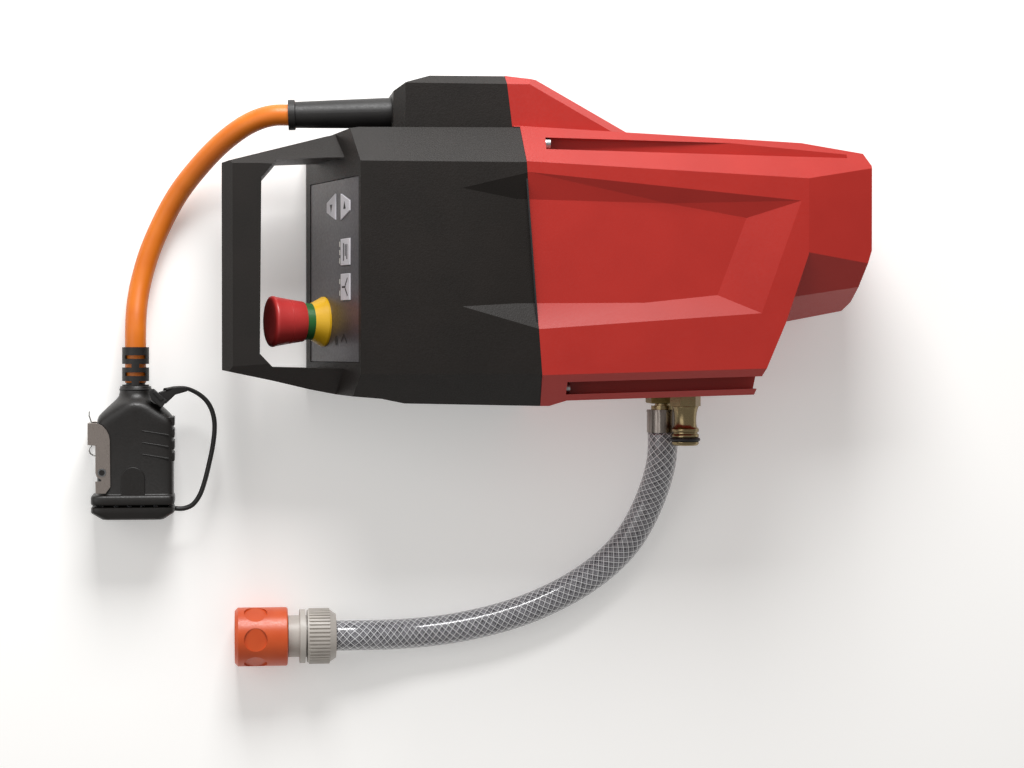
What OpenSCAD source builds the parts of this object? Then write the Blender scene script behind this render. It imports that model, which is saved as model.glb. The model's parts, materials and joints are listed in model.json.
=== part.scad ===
// Hand-carried automatic feed unit for a core drill stand.
// Frame: origin at the output hub's centre on the mounting face, +Z out of that face
// through the casing, +X from the handle to the nose, +Y towards the cable block.

/* [Casing] */
// Depth of the casing from its mounting face to its flat side
casing_depth = 112; // [104:1:136]
// Wall thickness of both moulded covers
wall = 3.5; // [2.8:0.1:4.2]
// Thickness of the end wall that carries the control panel
end_wall = 7.5; // [7:0.5:9]
// Distance from the hub axis back to the joint between the covers, at hub height
joint_x = 187; // [180:1:226]
// Distance from the joint between the covers to the flat side's panel edge
rear_length = 101.1; // [96:0.1:122]
// Width of the panelled end's tilt away from square
panel_tilt = 15.7; // [10:0.1:18]
// Depth of the pocket in the flat side
pocket_depth = 5; // [3:0.5:6]
// Width of the screw grooves
groove_width = 7.5; // [6.5:0.5:9]

/* [Handle] */
// Width of the grip bar
grip_width = 22.5; // [18:0.5:27]
// Clear space between the grip bar and the panelled end
grip_gap = 30; // [26:1:36]
// Depth of the grip bar
grip_depth = 48; // [40:1:58]

/* [Controls] */
// Width of a key along the panel's depth
key_width = 16.4; // [13.6:0.2:17]
// Height of a key
key_height = 16; // [13.4:0.2:19.2]
// Travel of a key
key_travel = 0.5; // [0.3:0.1:0.7]
// Radius of the emergency stop's head
stop_head_r = 15.7; // [13:0.1:18.8]
// Radius of the mounting hole for the emergency stop
stop_hole_r = 11.15; // [11.15:0.05:11.3]
// Travel of the emergency stop
stop_travel = 4.5; // [3.5:0.5:4.5]

/* [Drive] */
// Radius of the output hub's bore
hub_bore_r = 8; // [6.5:0.5:9.5]
// Depth of the output hub's bore
hub_bore_depth = 26; // [20:1:28]
// Radius of the locating bores in the mounting face
dowel_r = 6; // [5:0.5:7.5]
// Module of the output gear pair
slow_module = 1.5; // [1.25:0.05:1.5]
// Module of the middle gear pair
middle_module = 1.25; // [1:0.05:1.3]
// Module of the motor's gear pair
fast_module = 1; // [0.85:0.05:1.05]
// Radius of the motor's can
motor_r = 27; // [22:0.5:29]

/* [Water] */
// Outer radius of the water hose
hose_r = 9.5; // [8:0.25:9.5]
// Radius of the nipple's sealing rings
nipple_r = 9; // [7.5:0.25:9.5]
// Radius of the coupling's release sleeve
coupling_r = 18.3; // [17.5:0.1:18.3]

/* [Cable] */
// Radius of the cable
cable_r = 6.5; // [5.5:0.25:7.5]
// Length of the kink sleeve outside the casing
sleeve_length = 66; // [55:1:79]

/* [Plug] */
// Width of the plug's hood
plug_width = 46.5; // [40:0.5:56]
// Thickness of the plug's hood
plug_thickness = 33; // [28:0.5:35]

/* [Hidden] */

eps = 0.01;
far = 500;

// Fits, as radial or face-to-face gaps
running = 0.05;
close_gap = 0.02;
free_gap = 0.3;

// ---------- casing outline, in X and Y ----------
joint_lean = 4.2;
casing_top = 58.2;
casing_bottom = -109.5;
end_x = -joint_x - rear_length;
face_top = 35.6;
face_bottom = -90;
bevel_drop = 20;

function joint_at(y) = -joint_x + 2.2 - (y + 30) * tan(joint_lean);

// The outline walks anticlockwise, so a wall's inside lies to its left
function unit(v) = v / norm(v);
function left_of(v) = [-v[1], v[0]];
function inset(p, w) = [for (i = [0 : len(p) - 1])
    let (a = p[(i + len(p) - 1) % len(p)], b = p[i], c = p[(i + 1) % len(p)],
         m = left_of(unit(b - a)), n = left_of(unit(c - b)))
    b + w * (m + n) / (1 + m * n)];

rear_outline = [
    [end_x - 45, -88], [end_x - 28, -99.6], [end_x - 13, -102.6], [end_x + 13, -104.8],
    [end_x + 27, -107.7], [-joint_x + 8, casing_bottom], [-joint_x + 37, casing_bottom],
    [-joint_x + 37, casing_top], [end_x, 57], [end_x - 45, 50],
];
front_outline = [
    [-joint_x - 43, casing_bottom], [-joint_x + 13.4, casing_bottom], [-joint_x + 23.7, -106.2],
    [-48.5, -102.9], [-46, -90.8], [-32.7, -59.5], [-18.6, -18.1], [-18.6, 50.3],
    [-joint_x - 3, 58.7], [-joint_x - 43, 59.5],
];
nose_outline = [
    [-60, -60], [-31, -60], [12.4, -51.6], [19.2, -41.5], [28, -12.5], [26, 28.5],
    [18.9, 43.8], [-18.6, 50.3], [-60, 52.4],
];
plate_outline = [
    [end_x - 3, -103.7], [end_x + 13, -104.8], [end_x + 27, -107.7], [-joint_x + 8, casing_bottom],
    [-joint_x + 13.4, casing_bottom], [-joint_x + 23.7, -106.2], [-48.5, -102.9], [-46, -90.8],
    [-32.7, -60], [12.4, -51.6],
    [19.2, -41.5], [28, -12.5], [26, 28.5], [18.9, 43.8], [-18.6, 50.3], [-joint_x - 3, 57.8],
    [end_x - 3, 56.9],
];

// ---------- cable block on top of the casing ----------
block_far = 24;
block_near = 86;
block_end = end_x + 22;
block_top = 90.2;
block_slope = -29.2;
block_joint_step = 8.3;
rear_block_outline = [
    [block_end, 45], [-joint_x + 37, 45], [-joint_x + 37, block_top], [block_end + 21.5, 89.6],
    [block_end + 7, 85], [block_end, 80.5],
];
front_block_outline = [
    [-joint_x - 43, 45], [-joint_x + 83.4, 45], [-joint_x + 7, 87.8], [-joint_x - 12.5, block_top],
    [-joint_x - 43, block_top],
];

// ---------- mounting face ----------
lip_height = 4;
lip_width = 14;
plate_top = 10;
plate_gap = 0.6;
boss_r = 22.6;
boss_top = 18;

// ---------- drive train ----------
slow_teeth = [24, 16];
middle_teeth = [44, 14];
fast_teeth = [60, 12];
slow_span = slow_module * (slow_teeth[0] + slow_teeth[1]) / 2;
middle_span = middle_module * (middle_teeth[0] + middle_teeth[1]) / 2;
fast_span = fast_module * (fast_teeth[0] + fast_teeth[1]) / 2;
slow_dir = 190;
middle_dir = 170;
fast_dir = 185;
function polar(r, a) = [r * cos(a), r * sin(a)];
slow_axis = polar(slow_span, slow_dir);
fast_axis = slow_axis + polar(middle_span, middle_dir);
motor_axis = fast_axis + polar(fast_span, fast_dir);
// A wheel meshes with the wheel before it when one of its gaps faces that wheel's tooth
function mesh_turn(dir, turn, before, after) = dir + 180 + 180 / after - (turn - dir) * before / after;
slow_pinion_turn = mesh_turn(slow_dir, 0, slow_teeth[0], slow_teeth[1]);
fast_pinion_turn = mesh_turn(middle_dir, 0, middle_teeth[0], middle_teeth[1]);
motor_pinion_turn = mesh_turn(fast_dir, 0, fast_teeth[0], fast_teeth[1]);
hub_r = hub_bore_r + 4.5;
bearing_r = hub_r + 6;
bearing_height = 7;
shaft_r = 4;
small_bearing_r = 8;
small_bearing_height = 5;
slow_level = [19.5, 28];
middle_level = [31, 37];
fast_level = [40, 46];
gear_plate_z = 50;
gear_plate_height = 6;
can_z = gear_plate_z + gear_plate_height;
can_top = casing_depth - pocket_depth - wall - 7;
bell_height = 5;
rotor_r = 3;
standoff_points = [[-127, 28], [-127, -32], [-10, 27], [-34, -44]];
standoff_r = 4;

// ---------- control panel, in its own tilted frame ----------
panel_frame = [end_x, 0, casing_depth];
panel_near = -4;
panel_far = -(casing_depth - 17) / cos(panel_tilt) + 3;
panel_low = -83;
panel_high = 27;
foil_face = 0.4;
foil_thickness = 1;
board_thickness = 1.6;
board_depth = foil_face + foil_thickness + 1;
board_low_y = -46.8;
key_rise = 0.3;
key_spare = 0.6;
key_thickness = board_depth + key_rise - key_travel - key_spare;
stop_place = [-58.4, -70];
near_row = -28;
far_row = -54.5;
light_row = -39.8;

// ---------- water fittings ----------
manifold_box = [[-101.5, -111, plate_top], [-69, -88, 57]];
nipple_place = [-80.8, -111, 44];
ferrule_place = [-91.5, -111, 24];
ferrule_length = 17;
ferrule_r = hose_r + 0.5;
barb_r = 5.6;

// ---------- cable, hose and plug ----------
cable_height = 52;
sleeve_place = [block_end + wall, 69.5, cable_height];
sleeve_turn = [0, -3, 1.5];
sleeve_r = cable_r + 2.8;
plug_x = -422;
plug_z = 19;
relief_top = -74;
hood_top = -98;
flange_top = -165;
flange_bottom = -170;
coupling_place = [-298.4, -254.8, coupling_r + 0.05];
nut_length = 17.9;

cable_route = [
    [-328.6, 67.8, 48.5], [-336.6, 67.6, 48.1], [-345, 65.8, 46], [-353.5, 62.2, 42.4],
    [-361.5, 57.2, 37.8], [-369.2, 51.2, 32.6], [-376.5, 44.4, 27.4], [-383.4, 37, 22.4],
    [-390, 29.2, 17.9], [-396, 21, 14], [-401.4, 12, 11], [-406, 3, 9.2], [-410.3, -6.5, 8.4],
    [-414, -16, 8.4], [-417, -26, 9.2], [-419.4, -36, 11], [-421, -46, 14], [-421.8, -56, 17.2],
    [-422, -65.5, 19], [-422, -73.9, 19],
];
hose_route = [
    [-91.5, -128.1, 24], [-91.5, -137, 24], [-92, -147, 22], [-93.6, -157, 18.2],
    [-96.2, -167, 14.6], [-99.8, -177, 11.8], [-104.6, -187, 10.2], [-110.6, -196.6, 9.6],
    [-118.4, -205.6, 9.6], [-127.4, -213.8, 9.6], [-137.4, -221.2, 9.6], [-148.2, -227.8, 9.6],
    [-159.6, -233.6, 9.6], [-171.6, -238.8, 9.6], [-184, -243.2, 9.6], [-197, -246.9, 9.6],
    [-210.4, -249.9, 9.6], [-224, -252.3, 9.6], [-238, -254, 9.8], [-252, -254.9, 10.9],
    [-265, -255.2, 13.4], [-277, -255, 16.2], [-286, -254.8, 18], [-292, -254.8, 18.35],
    [-298.3, -254.8, 18.35],
];
lanyard_route = [
    [-410.6, -101.6, 31.5], [-404, -100.3, 28.8], [-397, -99.2, 25.6], [-390, -99.8, 23], [-382.5, -103.6, 22],
    [-377, -109.4, 22], [-374, -117.5, 22], [-373.6, -126, 22], [-374.8, -136, 22],
    [-377, -146.5, 22], [-379.6, -157, 22], [-382.6, -165.5, 22], [-387, -171.6, 22],
    [-392.6, -174, 22], [-398, -174, 22],
];

// ---------- shared shapes ----------
module prism_z(points, low, high) {
    translate([0, 0, low]) linear_extrude(high - low) polygon(points);
}

module prism_x(points, low, high) {
    translate([low, 0, 0]) rotate([90, 0, 90]) linear_extrude(high - low) polygon(points);
}

module prism_y(points, low, high) {
    translate([0, high, 0]) rotate([90, 0, 0]) linear_extrude(high - low) polygon(points);
}

module block(low, high) {
    translate(low) cube(high - low);
}

// Everything above a plane through a point, turned about Z and then leaned about X
module beyond(point, turn, lean, shift) {
    translate(point) rotate([0, 0, turn]) rotate([lean, 0, 0]) translate([-far, -far, -shift])
        cube([2 * far, 2 * far, far]);
}

module ring(outer, inner, low, high) {
    difference() {
        translate([0, 0, low]) cylinder(r = outer, h = high - low, $fn = 64);
        translate([0, 0, low - 1]) cylinder(r = inner, h = high - low + 2, $fn = 64);
    }
}

module rod(r, low, high) {
    translate([0, 0, low]) cylinder(r = r, h = high - low, $fn = 48);
}

module at(point) {
    translate([point[0], point[1], 0]) children();
}

// Turns a shape drawn along Z so that it runs out along -Y, -X or +X
module along_minus_y(place) {
    translate(place) rotate([90, 0, 0]) children();
}

module along_minus_x(place) {
    translate(place) rotate([0, -90, 0]) children();
}

// Panel frame: local X runs into the casing, local Z up the panel, with its near edge at 0
module on_panel() {
    translate(panel_frame) rotate([0, panel_tilt, 0]) children();
}

// Emergency-stop frame: Z runs out of the panel along the stop's axis
module on_stop() {
    on_panel() translate([0, stop_place[0], stop_place[1]]) rotate([0, -90, 0]) children();
}

module sleeve_frame() {
    translate(sleeve_place) rotate(sleeve_turn) rotate([0, -90, 0]) children();
}

// A round tube swept along a route, as one closed polyhedron
module swept(route, r, sides) {
    count = len(route);
    function heading(i) = unit(route[min(i + 1, count - 1)] - route[max(i - 1, 0)]);
    rings = [for (i = [0 : count - 1])
        let (t = heading(i), u = unit(cross(t, [0, 0, 1])), v = cross(u, t))
        for (k = [0 : sides - 1]) route[i] + r * (cos(360 * k / sides) * u + sin(360 * k / sides) * v)];
    walls = [for (i = [0 : count - 2], k = [0 : sides - 1])
        let (a = i * sides + k, b = i * sides + (k + 1) % sides)
        [a, b, b + sides, a + sides]];
    caps = [[for (k = [0 : sides - 1]) sides - 1 - k], [for (k = [0 : sides - 1]) (count - 1) * sides + k]];
    polyhedron(points = rings, faces = concat(walls, caps), convexity = 6);
}

// ---------- gear teeth ----------
pressure = 25;
addendum = 0.85;
dedendum = 1.2;
tooth_share = 0.46;

// Half of a tooth's angle at radius r, on an involute of the given base circle
function involute_angle(r, base) = let (a = acos(base / r)) tan(a) * 180 / PI - a;
function half_tooth(r, pitch, teeth) = let (base = pitch * cos(pressure))
    180 * tooth_share / teeth + involute_angle(pitch, base) - involute_angle(max(r, base), base);
function gear_outline(m, teeth, turn) =
    let (pitch = m * teeth / 2, root = pitch - dedendum * m, tip = pitch + addendum * m,
         radii = [root, root + (tip - root) * 0.35, root + (tip - root) * 0.7, tip])
    [for (i = [0 : teeth - 1], s = [-1, 1], j = [0 : 3])
        let (r = s < 0 ? radii[j] : radii[3 - j])
        polar(r, turn + 360 * i / teeth + s * half_tooth(r, pitch, teeth))];

module gear(m, teeth, turn, low, high, bore) {
    difference() {
        prism_z(gear_outline(m, teeth, turn), low, high);
        translate([0, 0, low - 1]) cylinder(r = bore, h = high - low + 2, $fn = 48);
    }
}

// ---------- casing solids, each drawn a given distance inside its outer faces ----------
top_lean = atan2(bevel_drop, casing_top - face_top);
bottom_lean = atan2(bevel_drop, face_bottom - casing_bottom);

// How far the sloping end runs out before it turns upright at the bottom
heel = 27.9;

module body_rear(w, end_w) {
    difference() {
        prism_z(inset(rear_outline, w), w > 0 ? lip_height : 0, casing_depth - w);
        beyond([0, face_top, casing_depth], 0, -top_lean, w);
        beyond([0, face_bottom, casing_depth], 0, bottom_lean, w);
        on_panel() translate([end_w - far, -far, -far]) cube([far, 2 * far, 2 * far]);
        translate([end_x - heel - far + end_w, -far, -far]) cube([far, 2 * far, 2 * far]);
    }
}

module block_rear(w) {
    difference() {
        prism_z(inset(rear_block_outline, w), block_far + w, block_near - w);
        beyond([0, 84.5, block_near], 0, -52, w);
        beyond([block_end + 6.5, 0, block_near], 90, -57, w);
    }
}

// The nose's end wall leans in towards the top
nose_top_x = 21.5;
nose_draft = 6.5;

module body_front(w) {
    low = w > 0 ? lip_height : 0;
    difference() {
        union() {
            prism_z(inset(front_outline, w), low, casing_depth - w);
            difference() {
                prism_z(inset(nose_outline, w), low, casing_depth - w);
                beyond([-18.6, 0, casing_depth], -90, -11, w);
                beyond([-18.6, -17, casing_depth], 5, 38, w);
                beyond([-18.6, -43, casing_depth - 20.5], 7, 60, w);
                beyond([nose_top_x, 0, casing_depth], -90, nose_draft - 90, w);
                beyond([nose_top_x - 3, -25, casing_depth], -107, nose_draft - 90, w);
            }
        }
        beyond([-joint_x, face_top + 0.4, casing_depth], -2.9, -top_lean, w);
        beyond([-joint_x, face_bottom - 0.9, casing_depth], 1.6, bottom_lean, w);
    }
}

module block_front(w) {
    difference() {
        prism_z(inset(front_block_outline, w), block_far + w, block_near - w);
        beyond([0, 84.5, block_near], 0, -52, w);
        beyond([-joint_x + 7, 81.9, block_near], block_slope, -52, w);
    }
}

// The side of the covers' stepped joint that the rear cover fills
module rear_side(shift) {
    prism_z([
        [-far, -far], [joint_at(-far) + shift, -far], [joint_at(casing_top) + shift, casing_top],
        [joint_at(casing_top) - 3.8 + shift, casing_top],
        [joint_at(casing_top) - block_joint_step + shift, 95], [-far, 95],
    ], -1, far);
}

// The pocket pressed into the flat side, grown by w for the cavity behind it
module pocket(w) {
    outer = [
        [-joint_x - 41, -50], [-joint_x + 5, -63.3], [-118.6, -57.3], [-47.5, -53.7],
        [-23.2, 14], [-133, 24.2], [-joint_x - 1, 29.7], [-joint_x - 41, 20],
    ];
    floor_edge = [
        [-joint_x - 8, -48], [-118, -47.5], [-73.5, -42.8], [-55.8, 3.6], [-103.7, 12],
        [-joint_x - 8, 14],
    ];
    hull() {
        prism_z(inset(outer, -w), casing_depth - w, casing_depth + 1 - w);
        prism_z(inset(floor_edge, -w), casing_depth - pocket_depth - w, casing_depth - w);
    }
}

upper_groove = [-joint_x + 10.5, 44, 90.5];
lower_groove = [-joint_x + 22.6, -102.4, 89];

module grooves(w) {
    translate(upper_groove) rotate([0, -2, -1]) block([-w, -w, -w], [185, groove_width + w, 40]);
    translate(lower_groove) rotate([0, 0, 1.6]) block([-w, -w, -w], [150, groove_width + w, 40]);
}

screw_r = 2;
screw_head_r = 3.5;
screw_places = [
    [upper_groove[0], upper_groove[1] + groove_width / 2, upper_groove[2] + 4.4],
    [lower_groove[0], lower_groove[1] + groove_width / 2, lower_groove[2] + 4.4],
];
screw_boss_r = 5.6;
screw_length = 34;

module screw_holes(r, length) {
    for (p = screw_places) along_minus_x(p) rod(r, -4, length);
}

// Pillars inside the casing that take the cover screws across the joint
module screw_bosses() {
    for (p = screw_places) along_minus_x(p) rod(screw_boss_r, 1.5, screw_length + 6);
}

base_screw_points = [
    [end_x + 18, -97], [-205, -100.5], [-150, -98], [-60, -94], [-272, 48.5], [-205, 50],
    [-120, 46.5], [-40, 43], [19, -20], [18, 24],
];
base_screw_r = 2;

module base_holes(r, head_r) {
    for (p = base_screw_points) at(p) {
        rod(r, -1, plate_top + 1);
        if (head_r > 0) translate([0, 0, -eps]) cylinder(r1 = head_r, r2 = r, h = 2, $fn = 32);
    }
}

module plate_opening() {
    prism_z(inset(plate_outline, lip_width), -1, lip_height + 1);
}

module handle() {
    left = end_x - grip_gap - grip_width - 28.4;
    bar = left + grip_width;
    half = grip_depth / 2;
    middle = casing_depth / 2;
    slice = [
        [left - 3, middle - half + 4], [bar, middle - half], [end_x - 22, middle - 31],
        [end_x + 10, middle - 32], [end_x + 10, middle + 33], [end_x - 22, middle + 32],
        [bar, middle + half], [left - 3, middle + half - 4],
    ];
    outline = [
        [left, -87.9], [left + 30, -94.2], [left + 52.6, -99.6], [left + 68, -102.6],
        [end_x + 10, -104], [end_x + 10, 56.8], [end_x, 57], [left + 62.8, 53.4],
        [left, 36.7],
    ];
    window = [
        [bar, -78], [bar + 7.6, -86], [end_x - 28, -86.6], [end_x - 3, -87], [end_x - 3, 39.5],
        [end_x - 19, 39.5], [bar + 10, 38], [bar + 1, 27.5],
    ];
    difference() {
        intersection() {
            prism_z(outline, 0, casing_depth);
            prism_y(slice, -120, 80);
        }
        prism_z(window, -1, casing_depth + 1);
        beyond([left, 32, middle + 25], 8, -48, 0);
        beyond([left, -81, middle + 25], -6, 42, 0);
        beyond([left + 6, 0, middle + 21], 90, -50, 0);
        mirror_depth() {
            beyond([left, 32, middle + 25], 8, -48, 0);
            beyond([left, -81, middle + 25], -6, 42, 0);
            beyond([left + 6, 0, middle + 21], 90, -50, 0);
        }
    }
}

// The same shape on the far side of the casing's middle plane
module mirror_depth() {
    translate([0, 0, casing_depth]) mirror([0, 0, 1]) children();
}

// ---------- casing pieces ----------
module seal_band() {
    intersection() {
        difference() {
            union() { body_rear(1.2, 1.2); block_rear(1.2); }
            union() { body_rear(2.5, 2.5); block_rear(2.5); }
        }
        difference() { rear_side(0); rear_side(-1); }
        block([-far, -far, lip_height + 1], [far, far, far]);
    }
}

module rear_cover() {
    color("#2B2828") difference() {
        union() {
            intersection() {
                difference() {
                    union() { body_rear(0, 0); block_rear(0); handle(); }
                    difference() {
                        union() { body_rear(wall, end_wall); block_rear(wall); }
                        pocket(wall);
                    }
                }
                rear_side(0);
            }
            intersection() {
                screw_bosses();
                rear_side(0);
                union() { body_rear(wall / 2, end_wall); block_rear(wall / 2); }
            }
        }
        pocket(0);
        screw_holes(screw_r + close_gap, screw_length + 0.5);
        plate_opening();
        base_holes(base_screw_r + 0.2, 4);
        seal_band();
        panel_recess();
        sleeve_frame() rod(sleeve_r + 0.4, -10, 10);
    }
}

module panel_recess() {
    on_panel() {
        block([-1, panel_low - 0.2, panel_far - 0.2],
              [foil_face + foil_thickness + close_gap, panel_high + 0.2, panel_near + 0.2]);
        block([-1, board_low_y - 0.2, panel_far + 4.8],
              [board_depth + board_thickness + close_gap, 23.2, panel_near - 4.8]);
    }
    on_stop() rod(stop_hole_r, -end_wall - 3, 5);
}

module front_cover() {
    color("#B03226") difference() {
        union() {
            difference() {
                union() { body_front(0); block_front(0); }
                difference() {
                    union() { body_front(wall); block_front(wall); }
                    pocket(wall);
                    grooves(wall);
                }
            }
            intersection() {
                screw_bosses();
                body_front(wall / 2);
            }
        }
        rear_side(0);
        pocket(0);
        grooves(0);
        screw_holes(screw_r + free_gap, screw_length);
        plate_opening();
        base_holes(base_screw_r + 0.2, 4);
        rod(boss_r + free_gap, -1, lip_height + 1);
        block([manifold_box[0][0] - 0.5, -120, plate_top - 1],
              [manifold_box[1][0] + 0.5, -90, manifold_box[1][2] + 0.5]);
    }
}

module cover_seal() {
    color("#1A1A1A") seal_band();
}

module screw(r, head_r, head_height, length) {
    difference() {
        union() {
            rod(r, 0, length);
            rod(head_r, -head_height, 0);
        }
        translate([0, 0, -head_height - 1]) cylinder(r = head_r * 0.45, h = head_height, $fn = 6);
    }
}

module case_screws() {
    color("#B8B8B8") {
        for (p = screw_places) along_minus_x(p) screw(screw_r, screw_head_r, 3, screw_length);
        for (p = base_screw_points) at(p) difference() {
            union() {
                rod(base_screw_r, 1, plate_top - 0.5);
                cylinder(r1 = 3.8, r2 = base_screw_r, h = 1.8, $fn = 32);
            }
            translate([0, 0, -1]) cylinder(r = 1.5, h = 2.2, $fn = 6);
        }
    }
}

dowel_points = [[-160, 0], [-60, -30]];

module base_plate() {
    color("#B9BCBE") difference() {
        union() {
            prism_z(inset(plate_outline, wall + plate_gap), lip_height, plate_top);
            prism_z(inset(plate_outline, lip_width + free_gap), 0, lip_height + eps);
            rod(boss_r, 0, boss_top);
            for (p = dowel_points) at(p) rod(dowel_r + 4, lip_height, plate_top + 6);
        }
        rod(hub_r + 1.2, -1, boss_top + 1);
        rod(bearing_r, 2.5, boss_top + 1);
        for (p = [slow_axis, fast_axis]) at(p) {
            rod(small_bearing_r, plate_top - small_bearing_height, plate_top + 1);
            rod(shaft_r + 1, plate_top - small_bearing_height - 1, plate_top);
        }
        for (p = dowel_points) at(p) rod(dowel_r, -1, 14);
        base_holes(base_screw_r + close_gap, 0);
        block([manifold_box[0][0] - 1, -120, 0],
              [manifold_box[1][0] + 1, manifold_box[0][1] + 4, plate_top + 1]);
    }
}

// ---------- controls ----------
// A trapezoid whose long side faces the other arrow key
function slanted_key(place, w, side) = let (h = key_height / 2 + w, a = key_width / 2 + w)
    side > 0
        ? [[place[0] - h, place[1] - a], [place[0] + h, place[1] - a], [place[0] + h - 5, place[1] + a],
           [place[0] - h + 5, place[1] + a]]
        : [[place[0] - h + 5, place[1] - a], [place[0] + h - 5, place[1] - a], [place[0] + h, place[1] + a],
           [place[0] - h, place[1] + a]];
function square_key(place, w) = let (h = key_height / 2 + w, a = key_width / 2 + w)
    [[place[0] - h, place[1] - a], [place[0] + h, place[1] - a], [place[0] + h, place[1] + a],
     [place[0] - h, place[1] + a]];
up_place = [10.3, near_row];
down_place = [11, far_row];
start_place = [-17, near_row];
mode_place = [-38, near_row];
key_gap = 0.25;

// Extrudes an outline in the panel's Y and Z from one depth to another
module panel_prism(points, low, high) {
    on_panel() prism_x(points, low, high);
}

module key(points) {
    panel_prism(points, -key_rise, key_thickness - key_rise);
}

module up_key() { color("#D4D1D6") key(slanted_key(up_place, 0, 1)); }
module down_key() { color("#D4D1D6") key(slanted_key(down_place, 0, -1)); }
module start_key() { color("#D4D1D6") key(square_key(start_place, 0)); }
module mode_key() { color("#D4D1D6") key(square_key(mode_place, 0)); }

light_points = [for (y = [-12, -17, -22, -34.5, -41.5]) [y, light_row]];

module control_panel() {
    color("#6B6870") difference() {
        on_panel() block([foil_face, panel_low, panel_far],
                         [foil_face + foil_thickness, panel_high, panel_near]);
        panel_prism(slanted_key(up_place, key_gap, 1), -1, 5);
        panel_prism(slanted_key(down_place, key_gap, -1), -1, 5);
        panel_prism(square_key(start_place, key_gap), -1, 5);
        panel_prism(square_key(mode_place, key_gap), -1, 5);
        on_stop() rod(stop_hole_r, -5, 5);
        for (p = light_points) panel_prism(light_outline(p, 0.1), -1, 5);
    }
}

function light_outline(p, w) = [
    [p[0] - 1.6 - w, p[1] - 0.6 - w], [p[0] + 1.6 + w, p[1] - 0.6 - w],
    [p[0] + 1.6 + w, p[1] + 0.6 + w], [p[0] - 1.6 - w, p[1] + 0.6 + w]];

module indicator_lights() {
    color("#E8E4DC") for (p = light_points) panel_prism(light_outline(p, 0), foil_face, board_depth);
}

module key_board() {
    color("#1E6B3A") on_panel()
        block([board_depth, board_low_y, panel_far + 5], [board_depth + board_thickness, 23, panel_near - 5]);
}

stop_neck_r = stop_head_r - 4.4;
stop_bush_r = 9.4;
stop_stem_r = 6.5;
collar_height = 8.2;
ring_top = 13;

module stop_head() {
    color("#A82A2E") on_stop() difference() {
        rotate_extrude($fn = 64) polygon([
            [0, ring_top + free_gap], [stop_head_r - 3.2, ring_top + free_gap], [stop_head_r - 1.9, 25.8],
            [stop_head_r, 32.4],
            [stop_head_r - 0.4, 33.6], [stop_head_r - 1.6, 34.4], [0, 34.4]]);
        rod(stop_neck_r + 0.5, ring_top, ring_top + stop_travel + 1.5);
        rod(stop_stem_r + running, ring_top, 30);
    }
}

module stop_plunger() {
    color("#8A8C8E") on_stop() {
        rod(stop_stem_r, -12, 29.6);
        rod(stop_stem_r - 2.5, -19, -12);
    }
}

module stop_ring() {
    color("#2C6B2F") on_stop()
        ring(stop_neck_r, stop_bush_r + close_gap, collar_height + close_gap, ring_top);
}

module stop_collar() {
    color("#F2C62E") on_stop() difference() {
        rotate_extrude($fn = 64) polygon([
            [stop_stem_r + 0.5, -16], [stop_bush_r, -16], [stop_bush_r, 0 - foil_face],
            [stop_head_r - 0.4, -foil_face], [stop_head_r - 0.4, 0.8], [stop_neck_r, collar_height],
            [stop_bush_r, collar_height], [stop_bush_r, ring_top], [stop_stem_r + 0.5, ring_top]]);
    }
}

// Ring nut that clamps the stop to the end wall, and the switch block behind it
module stop_contacts() {
    color("#3A3A3C") on_stop() {
        ring(15, stop_bush_r + close_gap, -end_wall - 4.5, -end_wall - 0.05);
        difference() {
            block([-14, -14, -42], [14, 14, -16.05]);
            rod(stop_stem_r + 0.5, -30, -10);
        }
    }
}

// ---------- boards and cable entry ----------
board_low = [end_x + 14, -30, plate_top + 8];
board_high = [-joint_x - 12, 44, plate_top + 8 + board_thickness];

module power_board() {
    color("#1F5E38") difference() {
        union() {
            block(board_low, board_high);
            for (x = [board_low[0] + 6, board_high[0] - 6], y = [board_low[1] + 6, board_high[1] - 6])
                at([x, y]) rod(3.5, plate_top, board_low[2]);
        }
    }
    color("#26262A") {
        for (x = [0, 20]) at([board_low[0] + 16 + x, -8]) rod(8, board_high[2], board_high[2] + 32);
        block([board_high[0] - 26, -22, board_high[2]], [board_high[0] - 8, 6, board_high[2] + 22]);
        block([board_low[0] + 10, 12, board_high[2]], [board_high[0] - 10, 32, board_high[2] + 14]);
    }
}

module heat_sink() {
    color("#A8ABAE") {
        block([-joint_x - 62, -96, plate_top], [-joint_x - 8, -40, plate_top + 5]);
        for (i = [0 : 7]) translate([-joint_x - 62 + i * 7.4, 0, 0])
            block([0, -96, plate_top + 4.9], [2, -40, plate_top + 34]);
    }
}

module cable_inner() {
    color("#E8822E") sleeve_frame() rod(cable_r, -48, sleeve_length);
}

// Tapered sleeve with a bead at its tip and a collar, flat on top, behind the block's wall
module kink_sleeve() {
    color("#1C1B1B") sleeve_frame() {
        rotate_extrude($fn = 64) polygon([
            [cable_r + close_gap, -3], [sleeve_r, -3], [sleeve_r, 8], [cable_r + 1.5, sleeve_length - 4.5],
            [sleeve_r, sleeve_length - 4], [sleeve_r, sleeve_length], [cable_r + close_gap, sleeve_length]]);
        intersection() {
            ring(sleeve_r + 1.8, sleeve_r - 0.5, -3, -0.6);
            block([-20, -20, -4], [20, 6.5, 0]);
        }
    }
}

module cable_clamp() {
    color("#C9CBCD") difference() {
        block([block_end + 16, 58, block_far + wall], [block_end + 28, 83, cable_height + 12]);
        sleeve_frame() rod(cable_r + 0.1, -60, 10);
        block([block_end + 15, 58, cable_height + 10.5], [block_end + 29, 62, cable_height + 13]);
    }
}

module power_cable() {
    color("#E8822E") swept(cable_route, cable_r, 12);
}

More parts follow.
